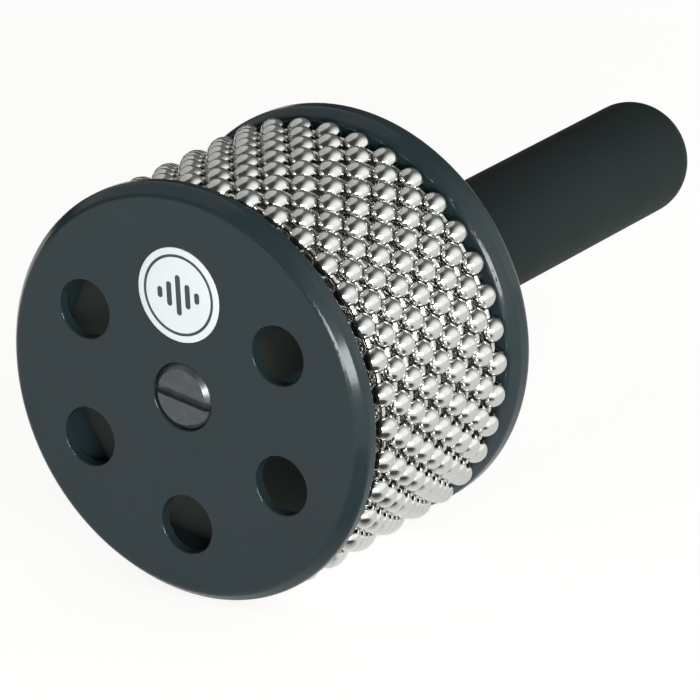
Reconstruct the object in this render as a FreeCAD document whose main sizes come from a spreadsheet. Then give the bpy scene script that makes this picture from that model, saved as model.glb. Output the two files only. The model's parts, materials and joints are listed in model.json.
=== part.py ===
import FreeCAD, Part
import math
import os
import Sketcher

# A hand-held ball-chain shaker: loops of steel ball chain ride loosely on an embossed steel
# sleeve between two moulded discs, and a round grip is drawn against the rear disc by one long
# slotted tie screw. It lies on the rims of its two discs.
#
# Every piece is drawn about its own z axis, which is the drum axis, with the disc's front face
# at z = 0 and "depth" running back from it along -z. Seen from the front, x is to the right and
# y is up. TO_ROW_FRAME then lays the pieces down: +Z up, +Y from the front disc to the grip.

doc = FreeCAD.newDocument("ball_chain_shaker")
sheet = doc.addObject("Spreadsheet::Sheet", "d")

DIMENSIONS = [
    # Discs
    ("disc_radius", 44.45),
    ("front_rim_depth", 5.0),
    ("front_wall", 2.4),
    ("front_bevel_inset", 2.0),
    ("front_bevel_depth", 2.4),
    ("bevel_inner_round", 1.8),
    ("bevel_outer_round", 1.6),
    ("rear_face_round", 2.3),
    ("disc_lip_round", 0.5),
    ("rim_width", 2.9),
    ("rear_disc_front", 53.25),
    ("rear_disc_back", 60.4),
    ("rear_web_front", 57.2),
    ("rear_bevel_inset", 1.6),
    ("rear_bevel_depth", 2.4),
    ("spigot_outer", 35.65),
    ("spigot_inner", 34.45),
    ("spigot_length", 6.0),
    ("hub_radius", 10.5),
    ("front_hub_end", 8.0),
    ("rear_hub_front", 50.0),
    # Sound holes and badge, by angle clockwise from the top as seen from the front
    ("sound_hole_radius", 6.3),
    ("sound_hole_circle", 27.9),
    ("sound_hole_count", 5),
    ("sound_hole_step", 60.0),
    ("sound_hole_mouth_round", 0.25),
    ("face_turn", 1.75),
    ("badge_radius", 10.05),
    ("badge_circle", 21.9),
    ("badge_thickness", 0.35),
    ("badge_recess", 0.3),
    ("badge_gap", 0.12),
    # Tie screw, washers and spacer
    ("screw_head_radius", 7.0),
    ("screw_head_bevel", 1.1),
    ("screw_proud", 0.35),
    ("screw_head_back", 2.9),
    ("screw_shank_radius", 3.95),
    ("screw_length", 91.0),
    ("screw_tip_bevel", 0.8),
    ("slot_width", 2.0),
    ("slot_depth", 1.5),
    ("slot_tilt", 10.1),
    ("counterbore_radius", 7.2),
    ("counterbore_round", 0.3),
    ("counterbore_depth", 3.4),
    ("front_washer_radius", 6.9),
    ("clearance_radius", 4.3),
    ("spacer_radius", 6.5),
    # Drum
    ("core_inner", 35.75),
    ("core_outer", 37.25),
    ("sleeve_inner", 37.3),
    ("sleeve_outer", 37.8),
    ("sleeve_end", 57.0),
    ("sleeve_seam", 0.4),
    ("drum_pocket_radius", 38.1),
    # Grip
    ("grip_radius", 12.8),
    ("grip_bore", 9.6),
    ("grip_end", 175.4),
    ("grip_end_round", 9.9),
    ("grip_bore_end", 172.0),
    ("grip_bore_round", 7.0),
    ("grip_spigot_radius", 11.9),
    ("grip_seat_radius", 12.0),
    ("grip_seat_floor", 59.2),
    ("grip_seat_mouth_round", 0.3),
    ("rear_washer_radius", 9.0),
    ("rear_washer_thickness", 0.8),
    ("plug_radius", 9.55),
    ("plug_end", 98.0),
    ("insert_radius", 5.5),
    ("insert_bore", 4.0),
    ("insert_end", 90.0),
    # Ball chain
    ("loop_count", 9),
    ("balls_per_loop", 37),
    ("loop_radius", 41.6),
    ("loop_sag", 0.7),
    ("floor_gap", 0.15),
    ("first_loop_depth", 11.27),
    ("loop_spacing", 4.84),
    ("first_loop_turn", 5.03),
    ("loop_turn_step", 4.725),
    ("ball_radius", 2.85),
    ("ball_wall", 0.35),
    ("eye_radius", 1.05),
    ("link_wire_radius", 0.6),
    ("link_head_radius", 1.15),
    ("link_head_inset", 1.25),
]

for row, (alias, value) in enumerate(DIMENSIONS, start=1):
    sheet.set("A%d" % row, alias)
    sheet.set("B%d" % row, str(value))
    sheet.setAlias("B%d" % row, alias)
doc.recompute()


def size(expression):
    """The value, in mm or degrees, of an expression over the sheet's cells."""
    return float(sheet.evalExpression(expression))


FULL_TURN = 360.0
MATCH = 1e-4  # mm, how closely an edge must lie on the circle that names it
ON_AXIS = "0"
BESIDE = 1.0  # mm, how far cutters run past the material they cut
TO_ROW_FRAME = FreeCAD.Placement(
    FreeCAD.Vector(0, -(size("d.grip_end") - size("d.screw_proud")) / 2, size("d.disc_radius")),
    FreeCAD.Rotation(FreeCAD.Vector(1, 0, 0), 90),
)

nodes = []


def new_body(label):
    """An empty body in the row frame, kept as a sub-part under its label."""
    body = doc.addObject("PartDesign::Body", label)
    body.Label = label
    body.Placement = TO_ROW_FRAME
    nodes.append(body)
    return body


def new_sketch(body, plane_role, name):
    """A sketch on one of the body's own origin planes."""
    plane = [item for item in body.Origin.OriginFeatures if item.Role == plane_role][0]
    sketch = body.newObject("Sketcher::SketchObject", name)
    sketch.AttachmentSupport = [(plane, "")]
    sketch.MapMode = "FlatFace"
    return sketch


def pin_point(sketch, line, across, along):
    """Holds a line's start at the two expressions, measured right of and up from the origin."""
    start, origin, centre = 1, -1, 1
    for kind, axis, expression in (("DistanceX", -2, across), ("DistanceY", -1, along)):
        value = size(expression)
        if abs(value) < MATCH:
            sketch.addConstraint(Sketcher.Constraint("PointOnObject", line, start, axis))
        else:
            held = Sketcher.Constraint(kind, origin, centre, line, start, value)
            sketch.setExpression("Constraints[%d]" % sketch.addConstraint(held), expression)


def draw_outline(sketch, corners):
    """A closed outline of straight lines, every corner bound to its two expressions."""
    points = [FreeCAD.Vector(size(across), size(along), 0) for across, along in corners]
    for index, point in enumerate(points):
        sketch.addGeometry(Part.LineSegment(point, points[(index + 1) % len(points)]), False)
    for index in range(len(points)):
        after = (index + 1) % len(points)
        sketch.addConstraint(Sketcher.Constraint("Coincident", index, 2, after, 1))
    for index, (across, along) in enumerate(corners):
        pin_point(sketch, index, across, along)


def draw_circle(sketch, radius, across=ON_AXIS, along=ON_AXIS):
    """A circle bound to its radius and to the place of its centre."""
    centre = FreeCAD.Vector(size(across), size(along), 0)
    circle = Part.Circle(centre, FreeCAD.Vector(0, 0, 1), size(radius))
    line = sketch.addGeometry(circle, False)
    held = sketch.addConstraint(Sketcher.Constraint("Radius", line, size(radius)))
    sketch.setExpression("Constraints[%d]" % held, radius)
    for kind, axis, expression in (("DistanceX", -2, across), ("DistanceY", -1, along)):
        if abs(size(expression)) < MATCH:
            sketch.addConstraint(Sketcher.Constraint("PointOnObject", line, 3, axis))
        else:
            place = Sketcher.Constraint(kind, -1, 1, line, 3, size(expression))
            sketch.setExpression("Constraints[%d]" % sketch.addConstraint(place), expression)


def turned_body(label, section):
    """A body turned about the drum axis from corners given as (radius, depth)."""
    body = new_body(label)
    sketch = new_sketch(body, "XZ_Plane", label + "_section")
    draw_outline(sketch, [(radius, "-(%s)" % depth) for radius, depth in section])
    turned = body.newObject("PartDesign::Revolution", label + "_turned")
    turned.Profile = sketch
    turned.ReferenceAxis = (sketch, ["V_Axis"])
    turned.Angle = FULL_TURN
    body.Tip = turned
    doc.recompute()
    return body


def ring_edges(shape, radius, depth, circle):
    """Names of the shape's full circles of this radius and depth whose centres lie at the
    circle's distance from the drum axis."""
    found = []
    for index, edge in enumerate(shape.Edges, start=1):
        curve = edge.Curve
        if not isinstance(curve, Part.Circle):
            continue
        place = curve.Center
        off_circle = abs(math.hypot(place.x, place.y) - circle)
        if max(abs(curve.Radius - radius), abs(place.z + depth), off_circle) < MATCH:
            found.append("Edge%d" % index)
    return found


def dress_rings(body, kind, name, amount_name, amount, rings, circle):
    """Rounds or bevels the circular edges at each (radius, depth) of the body's tip."""
    base = body.Tip
    edges = []
    for radius, depth in rings:
        edges += ring_edges(base.Shape, size(radius), size(depth), size(circle))
    if len(edges) < len(rings):
        raise RuntimeError("an edge to dress is missing on " + body.Label)
    dressed = body.newObject(kind, name)
    dressed.Base = (base, edges)
    dressed.setExpression(amount_name, amount)
    body.Tip = dressed
    doc.recompute()


def round_rings(body, name, radius, rings, circle=ON_AXIS):
    dress_rings(body, "PartDesign::Fillet", name, "Radius", radius, rings, circle)


def bevel_rings(body, name, width, rings):
    dress_rings(body, "PartDesign::Chamfer", name, "Size", width, rings, ON_AXIS)


def cut_both_ways(body, sketch, name, reach):
    """Cuts the sketch to the given reach each side of its plane, and checks that it cut."""
    before = body.Tip.Shape.Volume
    pocket = body.newObject("PartDesign::Pocket", name)
    pocket.Profile = sketch
    pocket.Midplane = True
    pocket.setExpression("Length", "2 * (%s)" % reach)
    body.Tip = pocket
    doc.recompute()
    if pocket.Shape.Volume > before - MATCH:
        raise RuntimeError(name + " removed nothing")
    return pocket


def build_front_disc():
    """Moulded disc: face wall, thick rim, spigot for the drum core, and a hub for the screw."""
    label = "front_disc"
    body = turned_body(label, [
        ("d.counterbore_radius", "0"),
        ("d.disc_radius - d.front_bevel_inset", "0"),
        ("d.disc_radius", "d.front_bevel_depth"),
        ("d.disc_radius", "d.front_rim_depth"),
        ("d.disc_radius - d.rim_width", "d.front_rim_depth"),
        ("d.disc_radius - d.rim_width", "d.front_wall"),
        ("d.spigot_outer", "d.front_wall"),
        ("d.spigot_outer", "d.front_wall + d.spigot_length"),
        ("d.spigot_inner", "d.front_wall + d.spigot_length"),
        ("d.spigot_inner", "d.front_wall"),
        ("d.hub_radius", "d.front_wall"),
        ("d.hub_radius", "d.front_hub_end"),
        ("d.clearance_radius", "d.front_hub_end"),
        ("d.clearance_radius", "d.counterbore_depth"),
        ("d.counterbore_radius", "d.counterbore_depth"),
    ])
    round_rings(body, "front_bevel_inner_round", "d.bevel_inner_round",
                [("d.disc_radius - d.front_bevel_inset", "0")])
    round_rings(body, "front_bevel_outer_round", "d.bevel_outer_round",
                [("d.disc_radius", "d.front_bevel_depth")])
    round_rings(body, "front_disc_lip_round", "d.disc_lip_round",
                [("d.disc_radius", "d.front_rim_depth")])
    round_rings(body, "counterbore_mouth_round", "d.counterbore_round",
                [("d.counterbore_radius", "0")])

    badge_seat = new_sketch(body, "XY_Plane", "badge_seat_circle")
    draw_circle(badge_seat, "d.badge_radius + d.badge_gap",
                "d.badge_circle * sin(d.face_turn)", "d.badge_circle * cos(d.face_turn)")
    cut_both_ways(body, badge_seat, "badge_seat", "d.badge_recess")

    first_hole = new_sketch(body, "XY_Plane", "first_sound_hole_circle")
    first_angle = "(d.sound_hole_step + d.face_turn)"
    draw_circle(first_hole, "d.sound_hole_radius",
                "d.sound_hole_circle * sin%s" % first_angle,
                "d.sound_hole_circle * cos%s" % first_angle)
    hole = cut_both_ways(body, first_hole, "first_sound_hole", "d.front_wall + %s" % BESIDE)

    holes = body.newObject("PartDesign::PolarPattern", "sound_holes")
    holes.Originals = [hole]
    holes.Axis = (first_hole, ["N_Axis"])
    holes.Reversed = True
    holes.setExpression("Angle", "d.sound_hole_step * (d.sound_hole_count - 1)")
    holes.setExpression("Occurrences", "d.sound_hole_count")
    body.Tip = holes
    doc.recompute()
    round_rings(body, "sound_hole_mouths", "d.sound_hole_mouth_round",
                [("d.sound_hole_radius", "0")], "d.sound_hole_circle")


def build_badge():
    """Thin round label that lies in the front disc's shallow recess."""
    body = new_body("badge")
    sketch = new_sketch(body, "XY_Plane", "badge_circle_sketch")
    draw_circle(sketch, "d.badge_radius",
                "d.badge_circle * sin(d.face_turn)", "d.badge_circle * cos(d.face_turn)")
    sketch.setExpression("AttachmentOffset.Base.z", "-d.badge_recess")
    pad = body.newObject("PartDesign::Pad", "badge_pad")
    pad.Profile = sketch
    pad.setExpression("Length", "d.badge_thickness")
    body.Tip = pad
    doc.recompute()


def build_tie_screw():
    """Slotted screw through the whole drum into the grip, its head level with the disc."""
    body = turned_body("tie_screw", [
        (ON_AXIS, "-d.screw_proud"),
        ("d.screw_head_radius", "-d.screw_proud"),
        ("d.screw_head_radius", "d.screw_head_back"),
        ("d.screw_shank_radius", "d.screw_head_back"),
        ("d.screw_shank_radius", "d.screw_length"),
        (ON_AXIS, "d.screw_length"),
    ])
    bevel_rings(body, "screw_head_bevel_ring", "d.screw_head_bevel",
                [("d.screw_head_radius", "-d.screw_proud")])
    bevel_rings(body, "screw_tip_bevel_ring", "d.screw_tip_bevel",
                [("d.screw_shank_radius", "d.screw_length")])
    slot = new_sketch(body, "XY_Plane", "slot_outline")
    draw_outline(slot, [
        ("-(d.screw_head_radius + %s)" % BESIDE, "-d.slot_width / 2"),
        ("d.screw_head_radius + %s" % BESIDE, "-d.slot_width / 2"),
        ("d.screw_head_radius + %s" % BESIDE, "d.slot_width / 2"),
        ("-(d.screw_head_radius + %s)" % BESIDE, "d.slot_width / 2"),
    ])
    slot.AttachmentOffset = FreeCAD.Placement(
        FreeCAD.Vector(), FreeCAD.Rotation(FreeCAD.Vector(0, 0, 1), -size("d.slot_tilt")))
    cut_both_ways(body, slot, "screwdriver_slot", "d.slot_depth - d.screw_proud")


def build_tube(label, inner, outer, front, back):
    """Plain ring or tube between two depths."""
    return turned_body(label, [(inner, front), (outer, front), (outer, back), (inner, back)])


def build_steel_sleeve():
    """Rolled steel strip round the core, its butt seam at the bottom."""
    body = build_tube("steel_sleeve", "d.sleeve_inner", "d.sleeve_outer",
                      "d.front_wall", "d.sleeve_end")
    seam = new_sketch(body, "XY_Plane", "seam_outline")
    draw_outline(seam, [
        ("-d.sleeve_seam / 2", "-(d.sleeve_outer + %s)" % BESIDE),
        ("d.sleeve_seam / 2", "-(d.sleeve_outer + %s)" % BESIDE),
        ("d.sleeve_seam / 2", "-(d.sleeve_inner - %s)" % BESIDE),
        ("-d.sleeve_seam / 2", "-(d.sleeve_inner - %s)" % BESIDE),
    ])
    cut_both_ways(body, seam, "butt_seam", "d.sleeve_end + %s" % BESIDE)


def build_rear_disc():
    """Moulded disc: deep rim over the sleeve's end, spigot, screw hub and a seat for the grip."""
    body = turned_body("rear_disc", [
        ("d.clearance_radius", "d.rear_hub_front"),
        ("d.hub_radius", "d.rear_hub_front"),
        ("d.hub_radius", "d.rear_web_front"),
        ("d.spigot_inner", "d.rear_web_front"),
        ("d.spigot_inner", "d.rear_web_front - d.spigot_length"),
        ("d.spigot_outer", "d.rear_web_front - d.spigot_length"),
        ("d.spigot_outer", "d.rear_web_front"),
        ("d.drum_pocket_radius", "d.rear_web_front"),
        ("d.drum_pocket_radius", "d.rear_disc_front"),
        ("d.disc_radius - d.rear_bevel_inset", "d.rear_disc_front"),
        ("d.disc_radius", "d.rear_disc_front + d.rear_bevel_depth"),
        ("d.disc_radius", "d.rear_disc_back"),
        ("d.grip_seat_radius", "d.rear_disc_back"),
        ("d.grip_seat_radius", "d.grip_seat_floor"),
        ("d.clearance_radius", "d.grip_seat_floor"),
    ])
    round_rings(body, "rear_bevel_inner_round", "d.bevel_inner_round",
                [("d.disc_radius - d.rear_bevel_inset", "d.rear_disc_front")])
    round_rings(body, "rear_bevel_outer_round", "d.bevel_outer_round",
                [("d.disc_radius", "d.rear_disc_front + d.rear_bevel_depth")])
    round_rings(body, "rear_disc_face_round", "d.rear_face_round",
                [("d.disc_radius", "d.rear_disc_back")])
    round_rings(body, "grip_seat_round", "d.grip_seat_mouth_round",
                [("d.grip_seat_radius", "d.rear_disc_back")])


def build_grip():
    """Hollow moulded grip with a domed end, its spigot in the rear disc's seat."""
    body = turned_body("grip", [
        ("d.grip_bore", "d.grip_seat_floor"),
        ("d.grip_spigot_radius", "d.grip_seat_floor"),
        ("d.grip_spigot_radius", "d.rear_disc_back"),
        ("d.grip_radius", "d.rear_disc_back"),
        ("d.grip_radius", "d.grip_end"),
        (ON_AXIS, "d.grip_end"),
        (ON_AXIS, "d.grip_bore_end"),
        ("d.grip_bore", "d.grip_bore_end"),
    ])
    round_rings(body, "grip_dome", "d.grip_end_round", [("d.grip_radius", "d.grip_end")])
    round_rings(body, "grip_bore_dome", "d.grip_bore_round", [("d.grip_bore", "d.grip_bore_end")])


def chain_path(loop_index):
    """Ball centres of one slack loop: a circle hung from the sleeve, flat where it meets the
    floor that the discs stand on."""
    count = int(size("d.balls_per_loop"))
    lowest = size("d.disc_radius - d.floor_gap - d.ball_radius")
    turn = size("d.first_loop_turn") + loop_index * size("d.loop_turn_step")
    depth = size("d.first_loop_depth") + loop_index * size("d.loop_spacing")
    centres = []
    for ball in range(count):
        angle = math.radians(turn + FULL_TURN * ball / count)
        across = size("d.loop_radius") * math.sin(angle)
        up = size("d.loop_radius") * math.cos(angle) - size("d.loop_sag")
        centres.append(FreeCAD.Vector(across, max(up, -lowest), -depth))
    return centres


def arc_about(middle, radius, start, end):
    """Edge of a circle in the xz plane, its centre on the z axis at middle. Angles, in radians,
    are measured from +z towards +x."""
    spots = []
    for angle in (start, (start + end) / 2, end):
        spots.append(FreeCAD.Vector(radius * math.sin(angle), 0, middle + radius * math.cos(angle)))
    return Part.Arc(*spots).toShape()


def joined(first, second):
    """Straight edge from the end of one edge to the start of the next."""
    return Part.LineSegment(first.Vertexes[-1].Point, second.Vertexes[0].Point).toShape()


def turned_solid(edges):
    """Solid turned about the z axis from a closed section."""
    section = Part.Face(Part.Wire(edges))
    return section.revolve(FreeCAD.Vector(), FreeCAD.Vector(0, 0, 1), FULL_TURN)


def hollow_ball():
    """Pressed steel ball with an eye at each end of its z diameter."""
    outer_radius = size("d.ball_radius")
    inner_radius = outer_radius - size("d.ball_wall")
    outer_eye = math.asin(size("d.eye_radius") / outer_radius)
    inner_eye = math.asin(size("d.eye_radius") / inner_radius)
    outside = arc_about(0, outer_radius, outer_eye, math.pi - outer_eye)
    inside = arc_about(0, inner_radius, math.pi - inner_eye, inner_eye)
    return turned_solid([outside, joined(outside, inside), inside, joined(inside, outside)])


def dumbbell_link(start, end):
    """Wire between two ball centres with a head caught inside each ball."""
    half_reach = (end - start).Length / 2 - size("d.link_head_inset")
    head_radius = size("d.link_head_radius")
    neck = math.asin(size("d.link_wire_radius") / head_radius)
    upper_head = arc_about(half_reach, head_radius, 0, math.pi - neck)
    lower_head = arc_about(-half_reach, head_radius, neck, math.pi)
    wire = joined(upper_head, lower_head)
    link = turned_solid([upper_head, wire, lower_head, joined(lower_head, upper_head)])
    facing = FreeCAD.Rotation(FreeCAD.Vector(0, 0, 1), end - start)
    link.Placement = FreeCAD.Placement((start + end) / 2, facing)
    return link


def add_shape(label, shape):
    """A sub-part whose shape is made directly from the sheet's sizes."""
    feature = doc.addObject("Part::Feature", label)
    feature.Label = label
    feature.Shape = shape
    feature.Placement = TO_ROW_FRAME
    nodes.append(feature)


def build_chain_loop(loop_index):
    """One closed ball chain: its balls in one node and its links in another."""
    centres = chain_path(loop_index)
    ball = hollow_ball()
    balls = []
    links = []
    for index, centre in enumerate(centres):
        before = centres[index - 1]
        after = centres[(index + 1) % len(centres)]
        placed = ball.copy()
        facing = FreeCAD.Rotation(FreeCAD.Vector(0, 0, 1), after - before)
        placed.Placement = FreeCAD.Placement(centre, facing)
        balls.append(placed)
        links.append(dumbbell_link(centre, after))
    add_shape("chain_%d_balls" % (loop_index + 1), Part.makeCompound(balls))
    add_shape("chain_%d_links" % (loop_index + 1), Part.makeCompound(links))


build_front_disc()
build_badge()
build_tie_screw()
build_tube("front_washer", "d.clearance_radius", "d.front_washer_radius",
           "d.screw_head_back", "d.counterbore_depth")
build_tube("spacer_tube", "d.clearance_radius", "d.spacer_radius",
           "d.front_hub_end", "d.rear_hub_front")
build_tube("drum_core", "d.core_inner", "d.core_outer", "d.front_wall", "d.rear_web_front")
build_steel_sleeve()
build_rear_disc()
build_tube("rear_washer", "d.clearance_radius", "d.rear_washer_radius",
           "d.grip_seat_floor", "d.grip_seat_floor + d.rear_washer_thickness")
build_grip()
build_tube("grip_plug", "d.insert_radius", "d.plug_radius",
           "d.grip_seat_floor + d.rear_washer_thickness", "d.plug_end")
build_tube("threaded_insert", "d.insert_bore", "d.insert_radius",
           "d.grip_seat_floor + d.rear_washer_thickness", "d.insert_end")
for loop in range(int(size("d.loop_count"))):
    build_chain_loop(loop)

doc.recompute()
for item in doc.Objects:
    if "Invalid" in item.State or "Error" in item.State:
        raise RuntimeError("%s did not build: %s" % (item.Label, item.State))
for node in nodes:
    if node.Shape.isNull() or not node.Shape.isValid():
        raise RuntimeError(node.Label + " has no valid shape")

os.makedirs("parts", exist_ok=True)
for node in nodes:
    node.Shape.exportStep("parts/%s.step" % node.Label)
    print("%-18s solids %3d  volume %10.2f mm3" % (
        node.Label, len(node.Shape.Solids), node.Shape.Volume))
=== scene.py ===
import json
import math

import bpy
import numpy as np
from mathutils import Matrix, Vector

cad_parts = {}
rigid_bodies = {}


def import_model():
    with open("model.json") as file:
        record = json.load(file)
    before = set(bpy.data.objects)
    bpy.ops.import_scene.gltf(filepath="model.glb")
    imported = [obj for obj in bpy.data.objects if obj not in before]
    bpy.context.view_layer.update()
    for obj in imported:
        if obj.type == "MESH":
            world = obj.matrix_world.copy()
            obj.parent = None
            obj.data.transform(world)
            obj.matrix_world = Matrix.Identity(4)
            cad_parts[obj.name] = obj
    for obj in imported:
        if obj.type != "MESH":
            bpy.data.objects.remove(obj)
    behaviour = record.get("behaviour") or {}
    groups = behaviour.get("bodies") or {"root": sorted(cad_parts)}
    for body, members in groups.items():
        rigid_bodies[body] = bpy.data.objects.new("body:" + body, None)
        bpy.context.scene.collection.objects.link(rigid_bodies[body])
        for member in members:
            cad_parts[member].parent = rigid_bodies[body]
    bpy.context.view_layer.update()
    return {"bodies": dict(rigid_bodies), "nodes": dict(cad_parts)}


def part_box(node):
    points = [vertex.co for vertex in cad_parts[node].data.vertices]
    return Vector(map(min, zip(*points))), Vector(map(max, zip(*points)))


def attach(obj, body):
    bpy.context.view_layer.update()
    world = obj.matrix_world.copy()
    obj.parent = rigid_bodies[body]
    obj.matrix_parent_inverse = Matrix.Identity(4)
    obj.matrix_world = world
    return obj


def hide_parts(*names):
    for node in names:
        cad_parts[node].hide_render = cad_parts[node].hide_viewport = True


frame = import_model()

MM = 0.001

# ---------------------------------------------------------------- places taken from the frame

face_low, face_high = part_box("front_disc")
sleeve_low, sleeve_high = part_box("steel_sleeve")
badge_low, badge_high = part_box("badge")
AXIS_Z = (face_low.z + face_high.z) / 2
FACE_Y = face_low.y
SLEEVE_RADIUS = (sleeve_high.x - sleeve_low.x) / 2
BADGE_CENTRE = (badge_low + badge_high) / 2
BADGE_RADIUS = (badge_high.x - badge_low.x) / 2
LOOPS = sorted(body for body in frame["bodies"] if body.startswith("loop_"))

# ---------------------------------------------------------------- sizes that only the looks need

BALL_SEGMENTS = 24
BALL_RINGS = 13
BALL_WALL = 0.35 * MM
EYE_RADIUS = 0.88 * MM
EYE_LIP = (0.06 * MM, 0.28 * MM)
EYE_FLARE_OUTSIDE = 1.12
EYE_FLARE_INSIDE = 1.15
WIRE_RADIUS = 0.6 * MM
WIRE_SWELL = 1.04
WAIST_HALF_LENGTH = 0.6 * MM
HEAD_RADIUS = 1.14 * MM
HEAD_INSET = 1.25 * MM
LINK_SEGMENTS = 12
LEAST_GAP_DEGREES = 1.5

SLEEVE_WALL = 0.45 * MM
SEAM_GAP = 0.4 * MM
EMBOSS_PITCH = 2.0 * MM
EMBOSS_HEIGHT = 0.24 * MM
EMBOSS_STEP = 0.32 * MM
EMBOSS_FULLNESS = 0.8

BADGE_EDGE = 0.12 * MM
BADGE_SEGMENTS = 96
BAR_HEIGHTS = (2.4 * MM, 5.2 * MM, 8.6 * MM, 5.2 * MM, 2.4 * MM)
BAR_SPACING = 2.3 * MM
BAR_HALF_WIDTH = 0.62 * MM
RING_OUTER = 0.86 * BADGE_RADIUS
RING_INNER = 0.80 * BADGE_RADIUS
INK_HEIGHT = 0.02 * MM
INK_SINK = 0.05 * MM

# ---------------------------------------------------------------- stage, lamps and camera

# Floor: how far it reaches, how bright the camera sees it, and how bright reflections see it
FLOOR_REACH = 4.0
FLOOR_SEEN = 0.86
FLOOR_GLOW = 0.34

# Painted shade on the floor at the drum's front right, a dark patch that only the pieces see: its
# centre, and the radii between which it fades out
PAINTED_SHADE_CENTRE = Vector((0.075, FACE_Y - 0.022, 0))
PAINTED_SHADE_FADE = (0.027, 0.055)

# Light tent: how dim its cloth is, and each lit patch's azimuth, elevation, core and rim angles
# in degrees and radiance
SKY_DIM = 0.07
SKY_PATCHES = (
    (95, -20, 48, 95, 1.3),
    (-98, 50, 34, 42, 0.50),
    (170, 60, 20, 60, 0.12),
)

# Softbox: azimuth and elevation in degrees, distance, width, height, radiance and tint
SOFTBOX_ANGLES = (45, 8)
SOFTBOX_DISTANCE = 1.6
SOFTBOX_SIZE = (1.3, 0.44)
SOFTBOX_RADIANCE = 22.0
SOFTBOX_TINT = (0.98, 0.985, 1.0)

# Fill inside the drum: distance behind the front face, side, radiance and tint
FILL_DEPTH = 9 * MM
FILL_SIDE = 46 * MM
FILL_RADIANCE = 4.4
FILL_TINT = (0.84, 1.0, 0.93)

# Camera: azimuth, elevation and roll in degrees, distance from the point that it looks at, focal
# length and sensor width in millimetres, and how far it sees
CAMERA_ANGLES = (36.56, 20.59, -2.91)
CAMERA_DISTANCE = 1.2245
CAMERA_AIM = Vector((25.84 * MM, FACE_Y + 22.53 * MM, AXIS_Z + 7.21 * MM))
CAMERA_LENS = 313.4
CAMERA_SENSOR = 36.0
CAMERA_CLIP = 20.0


# ---------------------------------------------------------------- node helpers

def shader_tree(name):
    """A new material, its node tree and the Principled shader in it."""
    material = bpy.data.materials.new(name)
    material.use_nodes = True
    shader = material.node_tree.nodes["Principled BSDF"]
    return material, material.node_tree, shader


def object_point(tree):
    """The socket that gives a surface point in the row frame, in metres."""
    return tree.nodes.new("ShaderNodeTexCoord").outputs["Object"]


def noise(tree, point, per_metre, detail=3.0, roughness=0.5):
    """A noise texture, as its factor socket."""
    node = tree.nodes.new("ShaderNodeTexNoise")
    node.inputs["Scale"].default_value = per_metre
    node.inputs["Detail"].default_value = detail
    node.inputs["Roughness"].default_value = roughness
    tree.links.new(point, node.inputs["Vector"])
    return node.outputs["Fac"]


def remap(tree, value, low, high, from_low=0.3, from_high=0.7):
    """The value spread between two limits."""
    node = tree.nodes.new("ShaderNodeMapRange")
    node.inputs["From Min"].default_value = from_low
    node.inputs["From Max"].default_value = from_high
    node.inputs["To Min"].default_value = low
    node.inputs["To Max"].default_value = high
    tree.links.new(value, node.inputs["Value"])
    return node.outputs["Result"]


def blend_colours(tree, value, first, second):
    """A colour between two, by the value."""
    node = tree.nodes.new("ShaderNodeMix")
    node.data_type = "RGBA"
    node.inputs["A"].default_value = (*first, 1)
    node.inputs["B"].default_value = (*second, 1)
    tree.links.new(value, node.inputs["Factor"])
    return node.outputs["Result"]


def bump(tree, shader, height, distance):
    """Tilts the shader's normal by a height in the range 0 to 1, over a depth in metres."""
    node = tree.nodes.new("ShaderNodeBump")
    node.inputs["Strength"].default_value = 1.0
    node.inputs["Distance"].default_value = distance
    tree.links.new(height, node.inputs["Height"])
    tree.links.new(node.outputs["Normal"], shader.inputs["Normal"])


# ---------------------------------------------------------------- materials

def moulded_plastic(name, dark, light, smooth, dull, gloss, grain_per_metre, grain_depth):
    """Black moulding: cloudy satin, a fine mould grain and faint handling marks."""
    material, tree, shader = shader_tree(name)
    point = object_point(tree)
    clouds = noise(tree, point, 45.0)
    smears = noise(tree, point, 210.0, detail=6.0, roughness=0.7)
    grain = noise(tree, point, grain_per_metre, detail=2.0)
    tree.links.new(blend_colours(tree, clouds, dark, light), shader.inputs["Base Color"])
    tree.links.new(remap(tree, smears, smooth, dull), shader.inputs["Roughness"])
    bump(tree, shader, grain, grain_depth)
    shader.inputs["Specular IOR Level"].default_value = gloss
    return material


def polished_nickel(name):
    """Bright plated steel with a faint warm tint, hairline scuffs and a little haze."""
    material, tree, shader = shader_tree(name)
    point = object_point(tree)
    haze = noise(tree, point, 320.0)
    scuffs = noise(tree, point, 2600.0, detail=5.0, roughness=0.7)
    colour = blend_colours(tree, haze, (0.60, 0.60, 0.575), (0.68, 0.68, 0.66))
    tree.links.new(colour, shader.inputs["Base Color"])
    tree.links.new(remap(tree, scuffs, 0.05, 0.13), shader.inputs["Roughness"])
    bump(tree, shader, scuffs, 0.004 * MM)
    shader.inputs["Metallic"].default_value = 1.0
    return material


def embossed_steel(name):
    """Rolled bright steel: fine rolling lines round the drum over the pressed pattern."""
    material, tree, shader = shader_tree(name)
    point = object_point(tree)
    stretch = tree.nodes.new("ShaderNodeMapping")
    stretch.inputs["Scale"].default_value = (0.15, 6.0, 0.15)
    tree.links.new(point, stretch.inputs["Vector"])
    lines = noise(tree, stretch.outputs["Vector"], 900.0, detail=4.0)
    stains = noise(tree, point, 160.0)
    colour = blend_colours(tree, stains, (0.46, 0.47, 0.46), (0.62, 0.62, 0.60))
    tree.links.new(colour, shader.inputs["Base Color"])
    tree.links.new(remap(tree, lines, 0.06, 0.14), shader.inputs["Roughness"])
    bump(tree, shader, lines, 0.01 * MM)
    shader.inputs["Metallic"].default_value = 1.0
    return material


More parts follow.
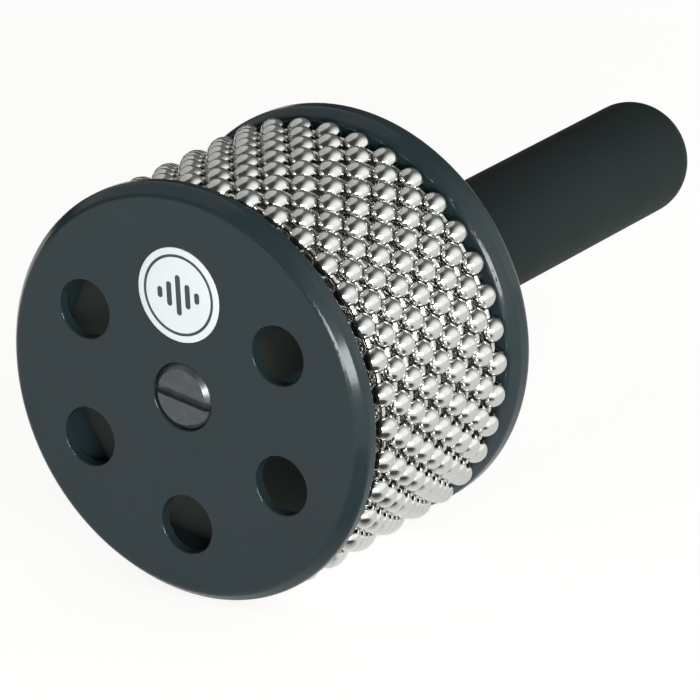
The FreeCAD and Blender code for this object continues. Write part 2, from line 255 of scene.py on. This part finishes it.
def blackened_steel(name):
    """Dark oxide finish with turning rings round the screw's axis and worn light patches."""
    material, tree, shader = shader_tree(name)
    point = object_point(tree)
    centred = tree.nodes.new("ShaderNodeMapping")
    centred.inputs["Location"].default_value = (0, 0, -AXIS_Z)
    tree.links.new(point, centred.inputs["Vector"])
    rings = tree.nodes.new("ShaderNodeTexWave")
    rings.wave_type = "RINGS"
    rings.rings_direction = "Y"
    rings.inputs["Scale"].default_value = 1100.0
    rings.inputs["Distortion"].default_value = 0.6
    rings.inputs["Detail"].default_value = 2.0
    tree.links.new(centred.outputs["Vector"], rings.inputs["Vector"])
    wear = noise(tree, point, 420.0, detail=5.0)
    colour = blend_colours(tree, wear, (0.045, 0.055, 0.056), (0.095, 0.107, 0.108))
    tree.links.new(colour, shader.inputs["Base Color"])
    tree.links.new(remap(tree, wear, 0.18, 0.32), shader.inputs["Roughness"])
    bump(tree, shader, rings.outputs["Fac"], 0.006 * MM)
    shader.inputs["Metallic"].default_value = 0.6
    return material


def plain_metal(name, first, second, smooth, dull):
    """Turned or plated metal for the small parts inside."""
    material, tree, shader = shader_tree(name)
    point = object_point(tree)
    patches = noise(tree, point, 300.0)
    marks = noise(tree, point, 1800.0, detail=4.0)
    tree.links.new(blend_colours(tree, patches, first, second), shader.inputs["Base Color"])
    tree.links.new(remap(tree, marks, smooth, dull), shader.inputs["Roughness"])
    bump(tree, shader, marks, 0.01 * MM)
    shader.inputs["Metallic"].default_value = 1.0
    return material


def coated_label(name, first, second, smooth, dull):
    """Printed film: a fine tooth, a slight tint and an uneven gloss."""
    material, tree, shader = shader_tree(name)
    point = object_point(tree)
    tint = noise(tree, point, 130.0)
    tooth = noise(tree, point, 5200.0, detail=2.0)
    tree.links.new(blend_colours(tree, tint, first, second), shader.inputs["Base Color"])
    tree.links.new(remap(tree, tooth, smooth, dull), shader.inputs["Roughness"])
    bump(tree, shader, tooth, 0.004 * MM)
    return material


disc_plastic = moulded_plastic("disc_plastic", (0.0115, 0.0205, 0.0230), (0.0145, 0.0235, 0.0260),
                               0.12, 0.20, 0.26, 1500.0, 0.006 * MM)
grip_plastic = moulded_plastic("grip_plastic", (0.0115, 0.0175, 0.0168), (0.0150, 0.0218, 0.0210),
                               0.52, 0.64, 0.05, 2400.0, 0.012 * MM)
core_plastic = moulded_plastic("core_plastic", (0.020, 0.021, 0.019), (0.026, 0.027, 0.025),
                               0.5, 0.62, 0.2, 1500.0, 0.02 * MM)
chain_nickel = polished_nickel("chain_nickel")
sleeve_steel = embossed_steel("sleeve_steel")
screw_steel = blackened_steel("screw_steel")
washer_steel = plain_metal("washer_steel", (0.50, 0.50, 0.50), (0.62, 0.62, 0.61), 0.25, 0.4)
insert_brass = plain_metal("insert_brass", (0.68, 0.50, 0.22), (0.78, 0.60, 0.30), 0.2, 0.35)
badge_film = coated_label("badge_film", (0.51, 0.55, 0.56), (0.54, 0.58, 0.59), 0.3, 0.42)
badge_ink = coated_label("badge_ink", (0.020, 0.026, 0.030), (0.030, 0.038, 0.042), 0.3, 0.42)


# ---------------------------------------------------------------- mesh helpers

def add_piece(name, points, faces, material, body, replaced=()):
    """A smooth-shaded mesh piece that rides on a body and may stand for CAD nodes."""
    mesh = bpy.data.meshes.new(name)
    mesh.from_pydata(points.tolist() if hasattr(points, "tolist") else points, [], faces)
    mesh.validate()
    mesh.materials.append(material)
    for polygon in mesh.polygons:
        polygon.use_smooth = True
    piece = bpy.data.objects.new(name, mesh)
    bpy.context.scene.collection.objects.link(piece)
    if replaced:
        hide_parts(*replaced)
    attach(piece, body)
    return piece


def turn_profile(profile, segments, closed):
    """Points and faces of a (radius, height) profile turned about z. A closed profile makes a
    ring; an open one starts and ends on the axis."""
    angles = np.arange(segments) * (2 * math.pi / segments)
    circle = np.stack([np.cos(angles), np.sin(angles)], axis=1)
    points = []
    rows = []
    for radius, height in profile:
        if radius == 0:
            rows.append([len(points)] * segments)
            points.append((0.0, 0.0, height))
        else:
            rows.append(list(range(len(points), len(points) + segments)))
            points += [(radius * x, radius * y, height) for x, y in circle]
    faces = []
    last = len(rows) if closed else len(rows) - 1
    for row in range(last):
        near, far = rows[row], rows[(row + 1) % len(rows)]
        for step in range(segments):
            after = (step + 1) % segments
            corners = [near[step], far[step], far[after], near[after]]
            faces.append(list(dict.fromkeys(corners)))
    return np.array(points), faces


def placed_copies(points, faces, places):
    """One mesh of a shape repeated at each (centre, direction of its z axis)."""
    all_points = []
    all_faces = []
    for centre, along in places:
        turn = np.array(Vector((0, 0, 1)).rotation_difference(Vector(along)).to_matrix())
        start = len(all_points) * len(points)
        all_points.append(points @ turn.T + np.array(centre))
        all_faces += [[index + start for index in face] for face in faces]
    return np.concatenate(all_points), all_faces


def node_points(node):
    """A CAD node's vertices as an array, in metres."""
    mesh = frame["nodes"][node].data
    flat = np.empty(len(mesh.vertices) * 3)
    mesh.vertices.foreach_get("co", flat)
    return flat.reshape(-1, 3)


def solid_centres(node):
    """Centres of the separate solids that share a chain's node, in order round the drum. Seen
    from the drum's axis, neighbours are at least the least gap apart."""
    points = node_points(node)
    angle = np.arctan2(points[:, 0], points[:, 2] - AXIS_Z)
    order = np.argsort(angle)
    points, angle = points[order], angle[order]
    gaps = np.diff(np.append(angle, angle[0] + 2 * math.pi))
    ends = np.flatnonzero(gaps > math.radians(LEAST_GAP_DEGREES))
    first = ends[0] + 1
    points = np.roll(points, -first, axis=0)
    groups = np.split(points, (ends - ends[0])[1:])
    return np.array([(group.min(axis=0) + group.max(axis=0)) / 2 for group in groups])


# ---------------------------------------------------------------- ball chain

def ball_profile(radius):
    """Section of a pressed hollow ball, its eyes drawn in to the wire."""
    inner = radius - BALL_WALL
    outer_eye = math.asin(EYE_RADIUS * EYE_FLARE_OUTSIDE / radius)
    inner_eye = math.asin(EYE_RADIUS * EYE_FLARE_INSIDE / inner)
    profile = []
    for step in range(BALL_RINGS):
        angle = outer_eye + (math.pi - 2 * outer_eye) * step / (BALL_RINGS - 1)
        profile.append((radius * math.sin(angle), radius * math.cos(angle)))
    lip = radius * math.cos(outer_eye)
    profile += [(EYE_RADIUS, depth - lip) for depth in EYE_LIP]
    for step in range(5):
        angle = math.pi - inner_eye - (math.pi - 2 * inner_eye) * step / 4
        profile.append((inner * math.sin(angle), inner * math.cos(angle)))
    profile += [(EYE_RADIUS, lip - depth) for depth in reversed(EYE_LIP)]
    return profile


def link_profile(pitch):
    """Section of a dumbbell link: a round head at each end of a wire, a little thicker in the
    middle than at its necks."""
    reach = pitch / 2 - HEAD_INSET
    neck = math.asin(WIRE_RADIUS / HEAD_RADIUS)
    head = [(0.0, reach + HEAD_RADIUS)]
    for step in range(1, 5):
        angle = (math.pi - neck) * step / 4
        head.append((HEAD_RADIUS * math.sin(angle), reach + HEAD_RADIUS * math.cos(angle)))
    waist = [(WIRE_RADIUS * WIRE_SWELL, WAIST_HALF_LENGTH),
             (WIRE_RADIUS * WIRE_SWELL, -WAIST_HALF_LENGTH)]
    return head + waist + [(radius, -height) for radius, height in reversed(head)]


def build_chain(body):
    """The balls and links of one loop, where its CAD solids lie."""
    number = body.split("_")[1]
    balls_node = "chain_%s_balls" % number
    links_node = "chain_%s_links" % number
    low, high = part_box(balls_node)
    centres = solid_centres(balls_node)
    after = np.roll(centres, -1, axis=0)
    before = np.roll(centres, 1, axis=0)
    pitch = float(np.median(np.linalg.norm(after - centres, axis=1)))

    points, faces = turn_profile(ball_profile((high.y - low.y) / 2), BALL_SEGMENTS, closed=True)
    points, faces = placed_copies(points, faces, list(zip(centres, after - before)))
    add_piece("ball_chain_%s" % number, points, faces, chain_nickel, body,
              [balls_node])

    points, faces = turn_profile(link_profile(pitch), LINK_SEGMENTS, closed=False)
    middles = (centres + after) / 2
    points, faces = placed_copies(points, faces, list(zip(middles, after - centres)))
    add_piece("chain_wire_%s" % number, points, faces, chain_nickel, body,
              [links_node])


# ---------------------------------------------------------------- embossed sleeve

def build_sleeve():
    """The rolled strip with its pressed diamond pattern, open at the butt seam below."""
    length = sleeve_high.y - sleeve_low.y
    base = SLEEVE_RADIUS - EMBOSS_HEIGHT / 2
    half_turn = math.pi - SEAM_GAP / 2 / base
    columns = int(2 * half_turn * base / EMBOSS_STEP)
    rows = int(length / EMBOSS_STEP)
    angle = np.linspace(-half_turn, half_turn, columns)
    along = np.linspace(0, length, rows)
    angle_grid, along_grid = np.meshgrid(angle, along)
    around = angle_grid * base
    rising = np.abs(np.sin(math.pi * (around + along_grid) / EMBOSS_PITCH))
    falling = np.abs(np.sin(math.pi * (around - along_grid) / EMBOSS_PITCH))
    radius = base + EMBOSS_HEIGHT * (rising * falling) ** EMBOSS_FULLNESS
    outer = np.stack([radius * np.sin(angle_grid), sleeve_low.y + along_grid,
                      AXIS_Z + radius * np.cos(angle_grid)], axis=2).reshape(-1, 3)
    bore = base - SLEEVE_WALL
    ends = []
    for y in (sleeve_low.y, sleeve_high.y):
        ends.append(np.stack([bore * np.sin(angle), np.full(columns, y),
                              AXIS_Z + bore * np.cos(angle)], axis=1))
    points = np.concatenate([outer] + ends)
    front_inner = rows * columns
    back_inner = front_inner + columns
    faces = []
    for row in range(rows - 1):
        for column in range(columns - 1):
            corner = row * columns + column
            faces.append([corner, corner + 1, corner + columns + 1, corner + columns])
    last_row = (rows - 1) * columns
    for column in range(columns - 1):
        faces.append([front_inner + column, front_inner + column + 1, column + 1, column])
        faces.append([last_row + column, last_row + column + 1,
                      back_inner + column + 1, back_inner + column])
        faces.append([back_inner + column, back_inner + column + 1,
                      front_inner + column + 1, front_inner + column])
    left_edge = [row * columns for row in range(rows)]
    right_edge = [row * columns + columns - 1 for row in range(rows)]
    faces.append([front_inner] + left_edge + [back_inner])
    faces.append([back_inner + columns - 1] + right_edge[::-1] + [front_inner + columns - 1])
    add_piece("embossed_sleeve", points, faces, sleeve_steel, "drum",
              ["steel_sleeve"])


# ---------------------------------------------------------------- badge

def slab(outline, front, back):
    """Points and faces of a flat slab: an outline in (x, z), from front to back along y."""
    count = len(outline)
    points = [(x, front, z) for x, z in outline] + [(x, back, z) for x, z in outline]
    faces = [list(range(count)), list(range(2 * count - 1, count - 1, -1))]
    for index in range(count):
        after = (index + 1) % count
        faces.append([index + count, after + count, after, index])
    return points, faces


def bar_outline(x, z, height):
    """Outline in (x, z) of an upright bar with round ends, about its centre."""
    straight = height / 2 - BAR_HALF_WIDTH
    outline = []
    for end, turn in ((1, 0), (-1, math.pi)):
        for step in range(13):
            angle = turn + math.pi * step / 12
            outline.append((x + BAR_HALF_WIDTH * math.cos(angle),
                            z + end * straight + BAR_HALF_WIDTH * math.sin(angle)))
    return outline


def build_badge():
    """White film with a softly rounded edge, and a plain mark of upright bars in a ring."""
    thickness = badge_high.y - badge_low.y
    profile = [(0.0, 0.0), (BADGE_RADIUS * 0.5, 0.0), (BADGE_RADIUS - BADGE_EDGE, 0.0)]
    for step in range(1, 5):
        angle = math.pi / 2 * step / 4
        profile.append((BADGE_RADIUS - BADGE_EDGE + BADGE_EDGE * math.sin(angle),
                        -BADGE_EDGE + BADGE_EDGE * math.cos(angle)))
    profile += [(BADGE_RADIUS, -thickness), (0.0, -thickness)]
    points, faces = turn_profile(profile, BADGE_SEGMENTS, closed=False)
    centre = (BADGE_CENTRE.x, badge_low.y, BADGE_CENTRE.z)
    points, faces = placed_copies(points, faces, [(centre, (0, -1, 0))])
    film = add_piece("badge_film", points, faces, badge_film, "drum", ["badge"])
    keep_edges_crisp(film)

    ink_points = []
    ink_faces = []
    for index, height in enumerate(BAR_HEIGHTS):
        x = BADGE_CENTRE.x + (index - (len(BAR_HEIGHTS) - 1) / 2) * BAR_SPACING
        outline = bar_outline(x, BADGE_CENTRE.z, height)
        points, faces = slab(outline, badge_low.y - INK_HEIGHT, badge_low.y + INK_SINK)
        start = len(ink_points)
        ink_points += points
        ink_faces += [[corner + start for corner in face] for face in faces]
    ring = [(RING_OUTER, -INK_SINK), (RING_OUTER, INK_HEIGHT),
            (RING_INNER, INK_HEIGHT), (RING_INNER, -INK_SINK)]
    points, faces = turn_profile(ring, BADGE_SEGMENTS, closed=True)
    points, faces = placed_copies(points, faces, [(centre, (0, -1, 0))])
    start = len(ink_points)
    ink_points += points.tolist()
    ink_faces += [[corner + start for corner in face] for face in faces]
    mark = add_piece("badge_mark", ink_points, ink_faces, badge_ink, "drum")
    keep_edges_crisp(mark)


def keep_edges_crisp(piece, degrees=40):
    """Marks the edges that turn more than this as sharp, so that flat faces shade flat."""
    piece.data.set_sharp_from_angle(angle=math.radians(degrees))


# ---------------------------------------------------------------- finishes of the CAD nodes

def finish_node(node, material):
    """Gives a CAD node its material."""
    data = frame["nodes"][node].data
    data.materials.clear()
    data.materials.append(material)


for node, material in {
    "front_disc": disc_plastic,
    "rear_disc": disc_plastic,
    "grip": grip_plastic,
    "tie_screw": screw_steel,
    "drum_core": core_plastic,
    "spacer_tube": core_plastic,
    "grip_plug": core_plastic,
    "front_washer": washer_steel,
    "rear_washer": washer_steel,
    "threaded_insert": insert_brass,
}.items():
    finish_node(node, material)

for body in LOOPS:
    build_chain(body)
build_sleeve()
build_badge()


# ---------------------------------------------------------------- building the stage

def board_seen_by_camera(tree, shader):
    """The floor as the camera sees it: an evenly lit pale ground."""
    clouds = noise(tree, object_point(tree), 3.0)
    tree.links.new(blend_colours(tree, clouds, (0.20, 0.20, 0.20), (0.22, 0.22, 0.22)),
                   shader.inputs["Base Color"])
    shader.inputs["Roughness"].default_value = 0.9
    shader.inputs["Specular IOR Level"].default_value = 0.0
    shader.inputs["Emission Color"].default_value = (1.0, 0.995, 0.98, 1)
    shader.inputs["Emission Strength"].default_value = FLOOR_SEEN
    return shader.outputs["BSDF"]


def board_seen_by_pieces(tree):
    """The floor as reflections see it: lit by the lamps, with a faint glow, and painted shade
    near the drum's front right where it is dark grey and does not glow.
    """
    from_painted_shade = tree.nodes.new("ShaderNodeVectorMath")
    from_painted_shade.operation = "DISTANCE"
    from_painted_shade.inputs[1].default_value = PAINTED_SHADE_CENTRE
    tree.links.new(object_point(tree), from_painted_shade.inputs[0])
    # Painted shade: near its centre the floor turns dark grey and stops glowing, standing in for
    # the shade in front of the drum.
    outside_painted_shade = remap(tree, from_painted_shade.outputs["Value"], 0.0, 1.0, *PAINTED_SHADE_FADE)
    lit = tree.nodes.new("ShaderNodeBsdfDiffuse")
    tree.links.new(blend_colours(tree, outside_painted_shade, (0.12, 0.12, 0.12), (0.80, 0.795, 0.78)),
                   lit.inputs["Color"])
    glow = tree.nodes.new("ShaderNodeEmission")
    tree.links.new(remap(tree, outside_painted_shade, 0.0, FLOOR_GLOW, 0.0, 1.0), glow.inputs["Strength"])
    both = tree.nodes.new("ShaderNodeAddShader")
    tree.links.new(lit.outputs["BSDF"], both.inputs[0])
    tree.links.new(glow.outputs["Emission"], both.inputs[1])
    return both.outputs["Shader"]


def build_floor():
    """Pale board that looks evenly lit to the camera, like a cut-out's white ground, and carries
    painted shade near the drum's front right in the pieces' reflections."""
    corners = [(-FLOOR_REACH, -FLOOR_REACH), (FLOOR_REACH, -FLOOR_REACH),
               (FLOOR_REACH, FLOOR_REACH), (-FLOOR_REACH, FLOOR_REACH)]
    mesh = bpy.data.meshes.new("floor")
    mesh.from_pydata([(x, y, 0) for x, y in corners], [], [[0, 1, 2, 3]])
    floor = bpy.data.objects.new("floor", mesh)
    bpy.context.scene.collection.objects.link(floor)
    material, tree, shader = shader_tree("floor_board")
    either = tree.nodes.new("ShaderNodeMixShader")
    ray = tree.nodes.new("ShaderNodeLightPath")
    tree.links.new(ray.outputs["Is Camera Ray"], either.inputs["Fac"])
    tree.links.new(board_seen_by_pieces(tree), either.inputs[1])
    tree.links.new(board_seen_by_camera(tree, shader), either.inputs[2])
    tree.links.new(either.outputs["Shader"], tree.nodes["Material Output"].inputs["Surface"])
    mesh.materials.append(material)


def direction(azimuth, elevation):
    """Unit vector towards a light: azimuth in degrees from the front disc's side round to the
    right, elevation in degrees above the floor."""
    around, up = math.radians(azimuth), math.radians(elevation)
    return Vector((math.sin(around) * math.cos(up), -math.cos(around) * math.cos(up),
                   math.sin(up)))


def sky_patch(tree, seen, azimuth, elevation, core, rim):
    """Factor that is 1 within the core angle of a direction and fades to 0 at the rim angle."""
    along = tree.nodes.new("ShaderNodeVectorMath")
    along.operation = "DOT_PRODUCT"
    along.inputs[1].default_value = direction(azimuth, elevation)
    tree.links.new(seen, along.inputs[0])
    fade = tree.nodes.new("ShaderNodeMapRange")
    fade.interpolation_type = "SMOOTHSTEP"
    fade.inputs["From Min"].default_value = math.cos(math.radians(rim))
    fade.inputs["From Max"].default_value = math.cos(math.radians(core))
    tree.links.new(along.outputs["Value"], fade.inputs["Value"])
    return fade.outputs["Result"]


def build_sky():
    """Light tent: a dim cloth, a broad lit wall on the right, a smaller one high at the left and
    a faint one high behind, with a dark gap above the open front."""
    world = bpy.data.worlds.new("light_tent")
    world.use_nodes = True
    tree = world.node_tree
    background = tree.nodes["Background"]
    seen = tree.nodes.new("ShaderNodeTexCoord").outputs["Generated"]
    total = None
    for azimuth, elevation, core, rim, radiance in SKY_PATCHES:
        term = tree.nodes.new("ShaderNodeMath")
        term.operation = "MULTIPLY_ADD"
        tree.links.new(sky_patch(tree, seen, azimuth, elevation, core, rim), term.inputs[0])
        term.inputs[1].default_value = radiance
        term.inputs[2].default_value = SKY_DIM
        if total is not None:
            tree.links.new(total, term.inputs[2])
        total = term.outputs["Value"]
    tree.links.new(total, background.inputs["Strength"])
    background.inputs["Color"].default_value = (0.97, 1.0, 0.98, 1)
    bpy.context.scene.world = world


def area_lamp(name, place, towards, width, height, radiance, tint):
    """Area light at a place, its back to the given direction. Its power follows from how bright
    its surface is to look."""
    light = bpy.data.lights.new(name, "AREA")
    light.shape = "RECTANGLE"
    light.size = width
    light.size_y = height
    light.energy = radiance * width * height * math.pi
    light.color = tint
    lamp = bpy.data.objects.new(name, light)
    lamp.location = place
    lamp.rotation_euler = towards.to_track_quat("Z", "Y").to_euler()
    bpy.context.scene.collection.objects.link(lamp)
    return lamp


def build_lights():
    """The tent, a softbox at the front right, and a dim fill behind the front disc that keeps
    the drum's inside from going quite black."""
    build_sky()
    towards = direction(*SOFTBOX_ANGLES)
    place = Vector((0, FACE_Y, AXIS_Z)) + towards * SOFTBOX_DISTANCE
    area_lamp("right_softbox", place, towards, *SOFTBOX_SIZE, SOFTBOX_RADIANCE, SOFTBOX_TINT)
    place = Vector((0, FACE_Y + FILL_DEPTH, AXIS_Z))
    fill = area_lamp("drum_fill", place, Vector((0, -1, 0)), FILL_SIDE, FILL_SIDE,
                     FILL_RADIANCE, FILL_TINT)
    fill.visible_camera = False
    bpy.context.scene.view_settings.view_transform = "Standard"


def build_camera():
    """Long lens from the front right, a little above, with the head tipped slightly."""
    azimuth, elevation, roll = (math.radians(angle) for angle in CAMERA_ANGLES)
    turn = (Matrix.Rotation(azimuth, 4, "Z") @ Matrix.Rotation(math.pi / 2 - elevation, 4, "X")
            @ Matrix.Rotation(roll, 4, "Z"))
    lens = bpy.data.cameras.new("camera")
    lens.sensor_width = CAMERA_SENSOR
    lens.lens = CAMERA_LENS
    lens.clip_end = CAMERA_CLIP
    camera = bpy.data.objects.new("camera", lens)
    back = Matrix.Translation((0, 0, CAMERA_DISTANCE))
    camera.matrix_world = Matrix.Translation(CAMERA_AIM) @ turn @ back
    bpy.context.scene.collection.objects.link(camera)
    bpy.context.scene.camera = camera


build_floor()
build_lights()
build_camera()
